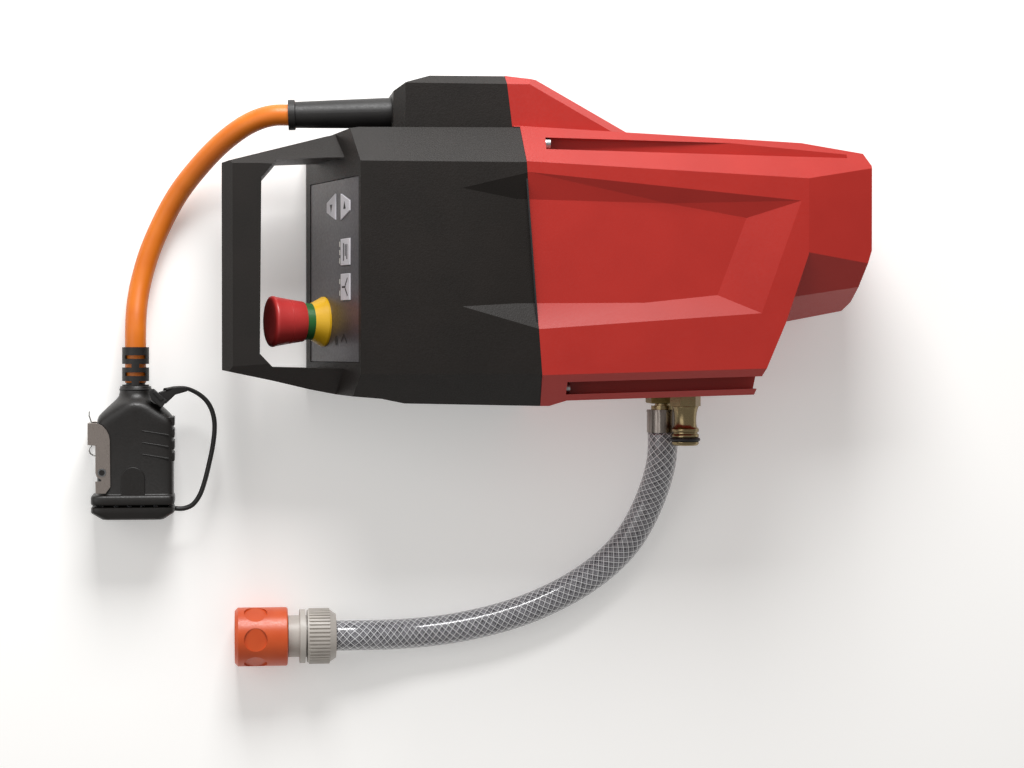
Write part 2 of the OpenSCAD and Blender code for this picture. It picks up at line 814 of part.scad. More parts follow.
// ---------- plug ----------
plug_half = plug_width / 2;
hood_low = plug_z - plug_thickness / 2;
hood_high = plug_z + plug_thickness / 2;
flange_left = plug_half + 3.8;
flange_right = plug_half + 0.7;
relief_r = 8.3;

module plug_relief() {
    color("#1B1A1A") difference() {
        along_minus_y([plug_x, relief_top, plug_z]) rod(relief_r, 0, relief_top - hood_top - close_gap);
        difference() {
            for (y = [relief_top - 5, relief_top - 15.6]) {
                block([plug_x - 6.2, y - 2.2, 0], [plug_x + 6.2, y, 2 * plug_z]);
                for (s = [-1, 1]) block([plug_x - 10 + s * 12.3, y - 7.6, 0],
                                        [plug_x + 10 + s * 12.3, y - 5.4, 2 * plug_z]);
            }
            along_minus_y([plug_x, relief_top, plug_z]) rod(cable_r - 0.6, -1, 30);
        }
    }
}

module plug_hood() {
    neck = relief_r + 0.9;
    color("#1E1B1A") difference() {
        union() {
            prism_z([
                [plug_x - neck, hood_top - 4.5],
                [plug_x - plug_half + 3, hood_top - 17.5], [plug_x - plug_half, hood_top - 21],
                [plug_x - plug_half, flange_top], [plug_x + plug_half, flange_top],
                [plug_x + plug_half, hood_top - 21], [plug_x + plug_half - 3, hood_top - 17.5],
                [plug_x + neck, hood_top - 4.5]],
                hood_low, hood_high);
            along_minus_y([plug_x, hood_top, plug_z]) rod(relief_r + 0.9, 0, 10);
            block([plug_x - flange_left, flange_bottom, 0], [plug_x + flange_right, flange_top, 2 * plug_z]);
            for (i = [0 : 3]) block([plug_x + plug_half - 4, hood_top - 24.4 - i * 7.3, hood_low + 3],
                                    [plug_x + plug_half + 0.7, hood_top - 18.8 - i * 7.3, hood_high - 3]);
            block([plug_x - 8.5, flange_top - 1, hood_high - 1],
                  [plug_x + 6, flange_top + 10.2, hood_high + 1]);
            at([plug_x - 1.25, flange_top + 10.2]) rod(7.25, hood_high - 1, hood_high + 1);
        }
        prism_z([
            [plug_x - plug_half + 4, flange_bottom - 1], [plug_x - plug_half + 4, hood_top - 24],
            [plug_x - 14, hood_top - 14], [plug_x + 14, hood_top - 14],
            [plug_x + plug_half - 4, hood_top - 24], [plug_x + plug_half - 4, flange_bottom - 1]],
            hood_low + 3.5, hood_high - 3.5);
        for (s = [-1, 1]) mirrored_in_depth(s) beyond([0, hood_top - 4, hood_high - 7], 0, -30, 0);
        lever_pin_hole();
    }
}

module mirrored_in_depth(s) {
    translate([0, 0, plug_z]) mirror([0, 0, s > 0 ? 0 : 1]) translate([0, 0, -plug_z]) children();
}

pin_place = [plug_x - plug_half + 3.25, -150.8];
lever_pin_r = 2.5;
lanyard_r = 1.2;

module lever_pin_hole() {
    at(pin_place) rod(lever_pin_r + close_gap, -1, 2 * plug_z + 1);
}

module plug_insert() {
    color("#8F9194") block([plug_x - plug_half + 4.2, flange_bottom + 2, hood_low + 3.7],
                           [plug_x + plug_half - 4.2, -135, hood_high - 3.7]);
    color("#C8A850") for (x = [-12, -4, 4, 12], z = [-5, 5])
        along_minus_y([plug_x + x, flange_bottom + 2.5, plug_z + z]) rod(1.25, 0, 7.5);
}

module plug_seal() {
    color("#1A1817") difference() {
        block([plug_x - flange_left + 2, flange_bottom - 1, 2.2],
              [plug_x + flange_right - 1.5, flange_bottom, 2 * plug_z - 2.2]);
        block([plug_x - plug_half + 3, flange_bottom - 2, hood_low + 3],
              [plug_x + plug_half - 3, flange_bottom + 1, hood_high - 3]);
    }
}

cap_top = flange_bottom - 1.3;
cap_bottom = -180;

module dust_cap() {
    color("#1E1B1A") difference() {
        union() {
            prism_z([
                [plug_x - flange_left, cap_top], [plug_x - flange_left, cap_top - 3.4],
                [plug_x - flange_left + 7, cap_bottom], [plug_x + flange_right - 6.5, cap_bottom],
                [plug_x + flange_right, cap_top - 3.4], [plug_x + flange_right, cap_top]],
                0.05, 2 * plug_z);
        }
        block([plug_x - plug_half + 3, -178, hood_low + 3], [plug_x + plug_half - 3, -165, hood_high - 3]);
    }
}

lever_thickness = 1.4;
lever_high = hood_high + 0.2;

// Two plates beside the hood, bridged along its edge
module plug_lever() {
    x = pin_place[0];
    plate = [
        [x - 8.6, -120.5], [x - 3.2, -120.5], [x + 0.2, -122], [x + 2.7, -124.7], [x + 4.3, -127.8],
        [x + 4.8, -131], [x + 5.1, -159.6], [x + 2.2, -163.6], [x - 3.8, -163.6], [x - 4, -156.2],
        [x - 0.3, -156.2], [x - 0.3, -155.2], [x - 3.2, -153.4], [x - 3.9, -150.8],
        [x - 3.9, -134.3], [x - 8.6, -133.8]];
    color("#8F8A84") difference() {
        union() {
            prism_z(plate, lever_high, lever_high + lever_thickness);
            mirrored_in_depth(-1)
                prism_z(plate, lever_high, lever_high + lever_thickness);
            block([x - 8.6, -133.8, hood_low - 1.6], [x - 7.2, -120.5, lever_high + lever_thickness]);
        }
        at(pin_place) rod(lever_pin_r + running, -1, 2 * plug_z + 2);
    }
}

// A stud through each side wall of the hood carries one plate of the lever
module lever_pin() {
    color("#C9C9C6") for (s = [-1, 1]) mirrored_in_depth(s)
        at(pin_place) rod(lever_pin_r, hood_high - 3.4, 2 * plug_z - 0.3);
}

// Wire spring: out of the hood's side, up behind the lever's web, hooked at the top
module lever_spring() {
    x = pin_place[0];
    z = plug_z + 12;
    color("#D0CFCB") swept([
        [x - 3.27, -140.8, z], [x - 5.4, -140.5, z], [x - 7.2, -139.4, z], [x - 8, -137.6, z],
        [x - 7.7, -136, z], [x - 6.68, -134.8, z], [x - 6.68, -119.8, z], [x - 7.3, -117.8, z],
        [x - 8, -116, z], [x - 7.8, -113.4, z]], 0.45, 8);
}

// Neck ring clipped round the hood, and the strap that runs from it to the cap
module cap_lanyard() {
    color("#1B1A1A") {
        along_minus_y([plug_x, hood_top, plug_z]) ring(relief_r + 2.9, relief_r + 0.95, 0.6, 4);
        prism_z([[-413.5, -101], [-410.9, -99.3], [-409.4, -100.6], [-411.8, -102.4]], 24, 30);
        intersection() {
            prism_z([[-413.5, -101], [-410.9, -99.3], [-402.3, -106.9], [-405.9, -111.5]], 18, 36.5);
            beyond([0, hood_top - 4, hood_high - 7], 0, -30, -0.05);
        }
        swept(lanyard_route, lanyard_r, 8);
    }
}

// ---------- drive ----------
module output_hub() {
    color("#8D9094") difference() {
        union() {
            rod(hub_r, 0, 29.4);
            rod(hub_r + 2, 28.05, 29.4);
        }
        rod(hub_bore_r, -1, hub_bore_depth);
        block([-2.5, 0, -1], [2.5, hub_bore_r + 2.3, hub_bore_depth]);
    }
}

module output_gear() {
    color("#9A9C9F") gear(slow_module, slow_teeth[0], 0, slow_level[0], slow_level[1], hub_r + close_gap);
}

module hub_bearings() {
    color("#B4B6B8") {
        ring(bearing_r - close_gap, hub_r + running, 2.5, 2.5 + bearing_height);
        ring(bearing_r - close_gap, hub_r + running, 3 + bearing_height, 3 + 2 * bearing_height);
    }
}

module slow_shaft() {
    color("#9A9C9F") at(slow_axis) {
        rod(shaft_r, plate_top - small_bearing_height + 0.2, gear_plate_z + small_bearing_height);
        gear(slow_module, slow_teeth[1], slow_pinion_turn, slow_level[0] - 0.5, slow_level[1] + 0.5, shaft_r);
    }
}

module slow_gear() {
    color("#A8A090") at(slow_axis) {
        gear(middle_module, middle_teeth[0], 0, middle_level[0], middle_level[1], shaft_r + close_gap);
        ring(7.5, shaft_r + close_gap, middle_level[0] - 2, middle_level[0] + eps);
    }
}

module fast_shaft() {
    color("#9A9C9F") at(fast_axis) {
        rod(shaft_r, plate_top - small_bearing_height + 0.2, gear_plate_z + small_bearing_height);
        gear(middle_module, middle_teeth[1], fast_pinion_turn,
             middle_level[0] - 0.5, middle_level[1] + 0.5, shaft_r);
    }
}

module fast_gear() {
    color("#A8A090") at(fast_axis) {
        gear(fast_module, fast_teeth[0], 0, fast_level[0], fast_level[1], shaft_r + close_gap);
        ring(7.5, shaft_r + close_gap, fast_level[0] - 2, fast_level[0] + eps);
    }
}

module shaft_bearings() {
    color("#B4B6B8") {
        for (p = [slow_axis, fast_axis], z = [plate_top - small_bearing_height, gear_plate_z])
            at(p) ring(small_bearing_r - close_gap, shaft_r + running, z, z + small_bearing_height);
        at(motor_axis) {
            ring(small_bearing_r - close_gap, rotor_r + running, can_z, can_z + small_bearing_height);
            ring(small_bearing_r - close_gap, rotor_r + running,
                 can_top - small_bearing_height - 1, can_top - 1);
        }
    }
}

module gear_plate() {
    outline = [[-136, -40], [-36, -52], [-12, -36], [-2, 20], [-2, 35], [-136, 35]];
    color("#B0B3B6") difference() {
        prism_z(outline, gear_plate_z, gear_plate_z + gear_plate_height);
        for (p = [slow_axis, fast_axis]) at(p) {
            rod(small_bearing_r, gear_plate_z - 1, gear_plate_z + small_bearing_height);
            rod(shaft_r + 1, gear_plate_z, gear_plate_z + gear_plate_height + 1);
        }
        at(motor_axis) rod(fast_module * fast_teeth[1] / 2 + 3, gear_plate_z - 1, can_z + 1);
        for (p = standoff_points) at(p) rod(2, gear_plate_z - 1, can_z + 1);
    }
}

module standoffs() {
    color("#C4C6C8") for (p = standoff_points) at(p) {
        rod(standoff_r, plate_top, gear_plate_z);
        rod(2 - close_gap, gear_plate_z - eps, can_z - 0.5);
    }
}

magnet_half = 16;

// The can and the two magnets bonded inside it
module motor_stator() {
    color("#55585C") at(motor_axis) {
        difference() {
            rod(motor_r, can_z, can_top - bell_height);
            rod(motor_r - 2, can_z + small_bearing_height + 1.5, can_top);
            rod(small_bearing_r, can_z - 1, can_z + small_bearing_height);
            rod(rotor_r + 1, can_z, can_top);
        }
        intersection() {
            ring(motor_r - 2 - close_gap, motor_r - 8, can_z + 8, can_top - bell_height - 12);
            block([-motor_r, -magnet_half, can_z], [motor_r, magnet_half, can_top]);
        }
    }
}

module motor_end_bell() {
    color("#6A6D70") at(motor_axis) difference() {
        union() {
            rod(motor_r, can_top - bell_height + close_gap, can_top);
            rod(small_bearing_r + 3, can_top - small_bearing_height - 1, can_top - bell_height + 1);
        }
        rod(small_bearing_r, can_top - small_bearing_height - 2, can_top - 1);
        rod(rotor_r + 1, can_top - 10, can_top - 0.5);
    }
}

module rotor_shaft() {
    color("#B8BABC") at(motor_axis) rod(rotor_r, fast_level[0] - 1, can_top - 1.5);
}

// Laminated core with its end windings, and the commutator
module armature() {
    low = can_z + small_bearing_height + 2.5;
    high = can_top - bell_height - 11;
    color("#8A6A48") at(motor_axis) {
        difference() {
            rod(motor_r - 8.6, low + 2, high);
            for (i = [0 : 11]) rotate([0, 0, i * 30])
                block([motor_r - 11.5, -1, low], [motor_r, 1, high + 1]);
            rod(rotor_r + close_gap, low, high + 1);
        }
        ring(motor_r - 13, rotor_r + close_gap, low, low + 2);
        ring(6.5, rotor_r + close_gap, high, high + 8);
    }
}

module brush_holder() {
    high = can_top - bell_height - 11;
    color("#2E2E30") at(motor_axis) {
        ring(motor_r - 2 - close_gap, 13, high + 5, high + 7);
        for (s = [0, 180]) rotate([0, 0, s]) block([6.5 + free_gap, -3, high + 1], [16, 3, high + 5.01]);
    }
}

module motor_pinion() {
    color("#9A9C9F") at(motor_axis)
        gear(fast_module, fast_teeth[1], motor_pinion_turn, fast_level[0] - 0.5, fast_level[1] + 1,
             rotor_r + close_gap);
}

// ---------- water ----------
module manifold() {
    color("#B0904F") difference() {
        block(manifold_box[0], manifold_box[1]);
        along_minus_y([nipple_place[0], -112, nipple_place[2]]) rod(6.5 + close_gap, -10, 2);
        along_minus_y([ferrule_place[0], -112, ferrule_place[2]]) rod(5 + close_gap, -13, 2);
    }
}

// Hexagon, waisted neck, two rings, a groove for the seal and the tip
module inlet_nipple() {
    color("#C4A25A") along_minus_y(nipple_place) difference() {
        union() {
            rotate([0, 0, 15]) cylinder(r = nipple_r + 1, h = 7, $fn = 6);
            rotate_extrude($fn = 64) polygon([
                [0, -9], [6.5, -9], [6.5, 0.5], [7.6, 6.5], [7.2, 8], [6.8, 11], [7, 13.8],
                [nipple_r, 14.6], [nipple_r, 16], [nipple_r - 0.8, 16.4], [nipple_r - 0.8, 17.2],
                [nipple_r, 17.6], [nipple_r, 19.4], [nipple_r - 2, 19.6], [nipple_r - 2, 22],
                [nipple_r, 22.2], [nipple_r, 23.6], [nipple_r - 1, 24.6], [0, 24.6]]);
        }
        rod(4.5, -10, 26);
    }
}

module nipple_seal() {
    color("#17171A") along_minus_y(nipple_place) rotate_extrude($fn = 64)
        translate([nipple_r - 0.75, 20.8]) circle(r = 1.15, $fn = 24);
}

module solenoid_valve() {
    low = manifold_box[0];
    color("#A98A4C") block([low[0] + 2, -88, plate_top], [low[0] + 28, -60, plate_top + 26]);
    color("#28282B") difference() {
        block([low[0] + 3, -87, plate_top + 26], [low[0] + 27, -61, plate_top + 56]);
        at([low[0] + 15, -74]) rod(5, plate_top + 25, plate_top + 57);
    }
    color("#B4B6B8") at([low[0] + 15, -74]) rod(5 - close_gap, plate_top + 26, plate_top + 60);
}

module hose_barb() {
    color("#C4A25A") along_minus_y(ferrule_place) difference() {
        union() {
            rod(5, -11, 0.5);
            rod(7.4, 0, 2.5);
            for (i = [0 : 3]) translate([0, 0, 2.5 + i * 3.4])
                cylinder(r1 = barb_r, r2 = barb_r - 0.8, h = 3.41, $fn = 48);
        }
        rod(3.4, -12, 20);
    }
}

module hose_ferrule() {
    color("#8C847C") along_minus_y(ferrule_place) difference() {
        union() {
            rod(ferrule_r, 2.55, ferrule_length);
            rod(ferrule_r + 0.25, 2.55, 4);
        }
        rod(barb_r + close_gap, 1, ferrule_length + 1);
    }
}

module water_hose() {
    color("#B9BDC4") swept(hose_route, hose_r, 12);
}

// ---------- quick coupling, drawn along its own axis from the hose end ----------
module on_coupling() {
    along_minus_x(coupling_place) children();
}

nut_ribs = 44;

module coupling_nut() {
    color("#C9C4BC") on_coupling() difference() {
        union() {
            cylinder(r1 = coupling_r - 4.6, r2 = coupling_r - 1.8, h = 4, $fn = 64);
            rod(coupling_r - 1.8, 4, nut_length);
            for (i = [1 : nut_ribs]) rotate([0, 0, i * 360 / nut_ribs])
                block([coupling_r - 3, -0.6, 4], [coupling_r - 0.9, 0.6, nut_length - 1]);
        }
        rod(11.5, 3, nut_length + 1);
        rod(hose_r - 1.5, -1, 6);
    }
}

module coupling_body() {
    base = nut_length;
    color("#C2BDB5") on_coupling() difference() {
        union() {
            rod(11.5 - close_gap, 4, base + 1);
            rod(13, base + free_gap, base + 11.8);
            rod(coupling_r - 1.5, base + 1.2, base + 4.7);
            rod(11, base + 11.7, base + 38);
        }
        rod(9.6, base + 16, base + 40);
        rod(5, 3, base + 40);
        for (a = [0, 90, 180, 270]) rotate([0, 0, a + 45])
            block([7, -2.6, base + 26], [14, 2.6, base + 33]);
    }
}

module coupling_jaws() {
    base = nut_length;
    color("#E4E0D8") on_coupling() for (a = [0, 90, 180, 270]) rotate([0, 0, a + 45])
        block([8.6, -2.3, base + 26.3], [13.2, 2.3, base + 32.7]);
}

module coupling_sleeve() {
    low = nut_length + 12.2;
    high = nut_length + 45;
    color("#D4562B") on_coupling() difference() {
        rotate_extrude($fn = 64) polygon([
            [13.6, low], [coupling_r - 0.8, low], [coupling_r, low + 0.8], [coupling_r, high - 2],
            [coupling_r - 2, high], [13.6, high]]);
        for (a = [0 : 60 : 300]) rotate([0, 0, a])
            translate([coupling_r - 1.6, 0, high - 0.39 * (high - low)]) rotate([0, 90, 0])
                cylinder(r = 7.2, h = 5, $fn = 48);
    }
}

module coupling_valve() {
    base = nut_length;
    color("#3A3C40") on_coupling() {
        rod(4.95, base + 4, base + 15.9);
        rod(9.5, base + 16.1, base + 19);
        rod(4, base + 15.5, base + 24);
    }
}

rear_cover();
front_cover();
cover_seal();
case_screws();
base_plate();
control_panel();
up_key();
down_key();
start_key();
mode_key();
key_board();
indicator_lights();
stop_head();
stop_plunger();
stop_ring();
stop_collar();
stop_contacts();
power_board();
heat_sink();
cable_clamp();
cable_inner();
kink_sleeve();
power_cable();
plug_relief();
plug_hood();
plug_insert();
plug_lever();
lever_pin();
lever_spring();
dust_cap();
plug_seal();
cap_lanyard();
gear_plate();
standoffs();
output_hub();
output_gear();
hub_bearings();
slow_shaft();
slow_gear();
fast_shaft();
fast_gear();
shaft_bearings();
motor_stator();
motor_end_bell();
rotor_shaft();
armature();
brush_holder();
motor_pinion();
manifold();
inlet_nipple();
nipple_seal();
solenoid_valve();
hose_barb();
hose_ferrule();
water_hose();
coupling_nut();
coupling_body();
coupling_sleeve();
coupling_jaws();
coupling_valve();
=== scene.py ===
"""Looks of a hand-carried automatic feed unit for a core drill stand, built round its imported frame."""

import json
import math

import bmesh
import bpy
from mathutils import Matrix, Vector


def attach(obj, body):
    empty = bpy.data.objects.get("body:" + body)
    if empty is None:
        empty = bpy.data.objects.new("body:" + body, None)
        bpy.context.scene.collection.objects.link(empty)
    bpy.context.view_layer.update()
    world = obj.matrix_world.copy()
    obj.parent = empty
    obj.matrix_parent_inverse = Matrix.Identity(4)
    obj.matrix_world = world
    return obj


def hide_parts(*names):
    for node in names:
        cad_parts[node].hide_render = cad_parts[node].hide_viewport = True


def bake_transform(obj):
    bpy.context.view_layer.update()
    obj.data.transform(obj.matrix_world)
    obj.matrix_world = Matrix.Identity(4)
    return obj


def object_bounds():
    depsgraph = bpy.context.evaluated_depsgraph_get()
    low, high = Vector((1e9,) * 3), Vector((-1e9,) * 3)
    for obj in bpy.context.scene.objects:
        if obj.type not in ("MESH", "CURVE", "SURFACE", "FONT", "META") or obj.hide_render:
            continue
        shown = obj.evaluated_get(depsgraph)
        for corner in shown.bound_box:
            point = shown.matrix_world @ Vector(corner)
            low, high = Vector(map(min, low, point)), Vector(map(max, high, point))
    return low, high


MM = 0.001

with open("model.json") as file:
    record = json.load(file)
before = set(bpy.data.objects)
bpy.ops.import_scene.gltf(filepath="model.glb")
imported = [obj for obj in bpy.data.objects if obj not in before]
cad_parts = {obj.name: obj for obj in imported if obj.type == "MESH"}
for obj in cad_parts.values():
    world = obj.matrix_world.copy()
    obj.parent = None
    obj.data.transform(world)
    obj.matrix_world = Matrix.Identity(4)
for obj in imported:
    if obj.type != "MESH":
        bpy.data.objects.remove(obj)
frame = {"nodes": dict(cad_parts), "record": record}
cad_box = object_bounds()
bpy.ops.object.select_all(action="DESELECT")


# ---------- camera ----------
def add_camera():
    """Looks down on the flat side of the unit as it lies on its mounting face."""
    bpy.ops.object.camera_add(
        location=(-0.37312, -0.07514, 1.534),
        rotation=(math.radians(-0.83), math.radians(-7), 0),
    )
    camera = bpy.context.object
    camera.data.lens = 85
    camera.data.sensor_width = 36
    bpy.context.scene.camera = camera


add_camera()

# ---------- routes of the cords, in millimetres, as the frame's own solids lie ----------
CABLE_ROUTE = [
    (-322.6, 68, 48.8), (-328.6, 67.8, 48.5), (-336.6, 67.6, 48.1), (-345, 65.8, 46),
    (-353.5, 62.2, 42.4), (-361.5, 57.2, 37.8), (-369.2, 51.2, 32.6), (-376.5, 44.4, 27.4),
    (-383.4, 37, 22.4), (-390, 29.2, 17.9), (-396, 21, 14), (-401.4, 12, 11), (-406, 3, 9.2),
    (-410.3, -6.5, 8.4), (-414, -16, 8.4), (-417, -26, 9.2), (-419.4, -36, 11), (-421, -46, 14),
    (-421.8, -56, 17.2), (-422, -65.5, 19), (-422, -73.9, 19), (-422, -84, 19), (-422, -96, 19),
]
HOSE_ROUTE = [
    (-91.5, -128.1, 24), (-91.5, -137, 24), (-92, -147, 22), (-93.6, -157, 18.2),
    (-96.2, -167, 14.6), (-99.8, -177, 11.8), (-104.6, -187, 10.2), (-110.6, -196.6, 9.6),
    (-118.4, -205.6, 9.6), (-127.4, -213.8, 9.6), (-137.4, -221.2, 9.6), (-148.2, -227.8, 9.6),
    (-159.6, -233.6, 9.6), (-171.6, -238.8, 9.6), (-184, -243.2, 9.6), (-197, -246.9, 9.6),
    (-210.4, -249.9, 9.6), (-224, -252.3, 9.6), (-238, -254, 9.8), (-252, -254.9, 10.9),
    (-265, -255.2, 13.4), (-277, -255, 16.2), (-286, -254.8, 18), (-292, -254.8, 18.35),
    (-298.3, -254.8, 18.35),
]
LANYARD_ROUTE = [
    (-404, -100.3, 28.8), (-397, -99.2, 25.6), (-390, -99.8, 23),
    (-382.5, -103.6, 22), (-377, -109.4, 22), (-374, -117.5, 22), (-373.6, -126, 22),
    (-374.8, -136, 22), (-377, -146.5, 22), (-379.6, -157, 22), (-382.6, -165.5, 22),
    (-387, -171.6, 22), (-392.6, -174, 22), (-398, -174, 22),
]
CABLE_R = 6.5 * MM
HOSE_R = 9.5 * MM
STEPS = 5  # points of a smooth path between two points of its route


def smooth_path(route):
    """A smooth curve through every point of a route, in metres."""
    points = [Vector(p) * MM for p in route]
    ends = [2 * points[0] - points[1]] + points + [2 * points[-1] - points[-2]]
    path = []
    for i in range(1, len(ends) - 2):
        a, b, c, d = ends[i - 1 : i + 3]
        for k in range(STEPS):
            t = k / STEPS
            path.append(
                0.5 * (2 * b + (c - a) * t + (2 * a - 5 * b + 4 * c - d) * t**2
                       + (3 * b - a - 3 * c + d) * t**3)
            )
    return path + [points[-1]]


def length_of(path):
    return sum((b - a).length for a, b in zip(path, path[1:]))


def piece_from(mesh, name):
    """An object with the mesh, its normals turned outwards."""
    bmesh.ops.recalc_face_normals(mesh, faces=mesh.faces)
    data = bpy.data.meshes.new(name)
    mesh.to_mesh(data)
    mesh.free()
    piece = bpy.data.objects.new(name, data)
    bpy.context.collection.objects.link(piece)
    return piece


def select_only(*pieces):
    """Selects the pieces, and makes the first of them active."""
    bpy.ops.object.select_all(action="DESELECT")
    for piece in pieces:
        piece.select_set(True)
    bpy.context.view_layer.objects.active = pieces[0]


def skinned(name, rings):
    """A closed skin over rings of points in millimetres."""
    mesh = bmesh.new()
    rings = [[mesh.verts.new(Vector(point) * MM) for point in ring] for ring in rings]
    sides = len(rings[0])
    for a, b in zip(rings, rings[1:]):
        for k in range(sides):
            n = (k + 1) % sides
            mesh.faces.new((a[k], a[n], b[n], b[k]))
    for ring in (rings[0][::-1], rings[-1]):
        mesh.faces.new(ring)
    return piece_from(mesh, name)


def sweep(name, path, profile_at):
    """A closed tube along a path. profile_at(share) gives the section there as (side, up) offsets.

    The UV map holds the share of the way round and the length along the path in metres."""
    mesh = bmesh.new()
    layer = mesh.loops.layers.uv.new("UVMap")
    total = length_of(path)
    rings, along, walked = [], [], 0.0
    side = None
    for i, point in enumerate(path):
        ahead = (path[min(i + 1, len(path) - 1)] - path[max(i - 1, 0)]).normalized()
        if i:
            walked += (point - path[i - 1]).length
        guide = side if side else ahead.cross(Vector((0, 0, 1)))
        side = (guide - ahead * guide.dot(ahead)).normalized()
        up = side.cross(ahead)
        section = profile_at(walked / total)
        rings.append([mesh.verts.new(point + side * x + up * y) for x, y in section])
        along.append(walked)
    count = len(rings[0])
    for a, b, low, high in zip(rings, rings[1:], along, along[1:]):
        for k in range(count):
            n = (k + 1) % count
            face = mesh.faces.new((a[k], a[n], b[n], b[k]))
            face.smooth = True
            uvs = ((k, low), (k + 1, low), (k + 1, high), (k, high))
            for loop, (u, v) in zip(face.loops, uvs):
                loop[layer].uv = (u / count, v)
    for ring in (rings[0][::-1], rings[-1]):
        mesh.faces.new(ring)
    return piece_from(mesh, name)


def circle(radius, sides, flat=1.0):
    turns = [2 * math.pi * k / sides for k in range(sides)]
    return [(radius * math.cos(a), radius * flat * math.sin(a)) for a in turns]


def make_power_cable():
    path = smooth_path(CABLE_ROUTE)
    cable = sweep("power_cable_cord", path, lambda share: circle(CABLE_R, 32))
    return cable, path


def make_water_hose():
    path = smooth_path(HOSE_ROUTE)
    hose = sweep("water_hose_cord", path, lambda share: circle(HOSE_R, 48))
    return hose, path


def lanyard_section(share):
    """A flat strap that narrows to a round cord and flattens again at the cap."""
    wide = 1.75 + 0.75 * max(0.0, 1 - share / 0.3)
    thick = 1.1 + 0.4 * min(1.0, share / 0.3)
    return [(x * thick * MM, y * wide * MM) for x, y in circle(1.0, 16)]


def make_lanyard():
    path = smooth_path(LANYARD_ROUTE)
    return sweep("lanyard_cord", path, lanyard_section), path


cable, cable_path = make_power_cable()
hose, hose_path = make_water_hose()
lanyard, lanyard_path = make_lanyard()


# ---------- shells with rounded edges ----------
FLAT_ANGLE = 0.6  # faces that meet at less than this many degrees are one face
FACET_ANGLE = 10  # faces that meet at more than this have a rounded edge between them
CORNER_ANGLE = 30
SHARP_ANGLE = 50


def round_edges(piece, width, segments, angle):
    """Rounds the edges sharper than an angle, then shades the piece smooth between its sharp edges."""
    bevel = piece.modifiers.new("edges", "BEVEL")
    bevel.width = width * MM
    bevel.segments = segments
    bevel.limit_method = "ANGLE"
    bevel.angle_limit = math.radians(angle)
    bevel.miter_outer = "MITER_ARC"
    bevel.use_clamp_overlap = True
    bpy.ops.object.modifier_apply(modifier=bevel.name)
    bpy.ops.object.shade_smooth_by_angle(angle=math.radians(SHARP_ANGLE))
    level = piece.modifiers.new("level", "WEIGHTED_NORMAL")
    level.keep_sharp = True
    bpy.ops.object.modifier_apply(modifier=level.name)


def stands_for(piece, node):
    """Puts a piece in a frame node's place, on its body and in its material slot."""
    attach(piece, next(b for b, nodes in BODIES.items() if node in nodes))
    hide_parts(node)
    PIECE_SLOTS[piece] = SLOTS[node]


def softened(node, width, segments):
    """A copy of a frame node with its edges rounded, which stands for that node."""
    source = frame["nodes"][node]
    piece = bpy.data.objects.new(node + "_shell", source.data.copy())
    bpy.context.collection.objects.link(piece)
    select_only(piece)
    bpy.ops.object.mode_set(mode="EDIT")
    bpy.ops.mesh.select_all(action="SELECT")
    bpy.ops.mesh.remove_doubles(threshold=0.01 * MM)
    bpy.ops.mesh.dissolve_limited(angle_limit=math.radians(FLAT_ANGLE))
    bpy.ops.object.mode_set(mode="OBJECT")
    round_edges(piece, width, segments, FACET_ANGLE)
    stands_for(piece, node)


BODIES = frame["record"]["behaviour"]["bodies"]
SLOTS = {row["node"]: row["material_slot"] for row in frame["record"]["subparts"]}
PIECE_SLOTS = {}

for node, width, segments in (
    ("rear_cover", 2.0, 3),
    ("front_cover", 2.0, 3),
    ("plug_seal", 0.3, 1),
    ("plug_lever", 0.35, 2),
    ("plug_relief", 0.5, 2),
    ("solenoid_valve", 0.5, 2),
    ("coupling_nut", 0.35, 2),
    ("coupling_sleeve", 0.8, 3),
    ("coupling_body", 0.5, 2),
    ("control_panel", 0.3, 2),
    ("up_key", 0.3, 2),
    ("down_key", 0.3, 2),
    ("start_key", 0.3, 2),
    ("mode_key", 0.3, 2),
):
    softened(node, width, segments)


# ---------- plug ----------
PLUG = Vector((-422, 0, 19))
PIN = (-442, -150.8)
NIPPLE = (-80.8, -111, 44)
NIPPLE_R = 8.6


def loft(name, rows, sides=72):
    """A closed skin along -Y round the plug's axis, of rounded sections.

    A row is (y, half width, half depth, squareness, shift along X), in millimetres."""
    rings = []
    for y, half, deep, square, shift in rows:
        ring = []
        for k in range(sides):
            c, d = math.cos(2 * math.pi * k / sides), math.sin(2 * math.pi * k / sides)
            x = math.copysign(abs(c) ** (2 / square), c) * half + shift
            z = math.copysign(abs(d) ** (2 / square), d) * deep
            ring.append((PLUG.x + x, y, PLUG.z + z))
        rings.append(ring)
    return skinned(name, rings)


def slab(outline, low, high, bevel):
    """A flat piece with a rounded edge: its outline in X and Y, and its two heights, in millimetres."""
    mesh = bmesh.new()
    face = mesh.faces.new([mesh.verts.new(Vector((x, y, low)) * MM) for x, y in outline])
    raised = bmesh.ops.extrude_face_region(mesh, geom=[face])["geom"]
    corners = [v for v in raised if isinstance(v, bmesh.types.BMVert)]
    bmesh.ops.translate(mesh, verts=corners, vec=(0, 0, (high - low) * MM))
    piece = piece_from(mesh, "slab")
    select_only(piece)
    round_edges(piece, bevel, 3, CORNER_ANGLE)
    return piece


def joined(name, pieces):
    """Joins pieces into the first of them, with smooth shading between sharp edges."""
    select_only(*pieces)
    bpy.ops.object.join()
    whole = bpy.context.object
    whole.name = whole.data.name = name
    bpy.ops.object.shade_smooth_by_angle(angle=math.radians(40))
    return whole


def box(x0, y0, x1, y1):
    return [(x0, y0), (x1, y0), (x1, y1), (x0, y1)]


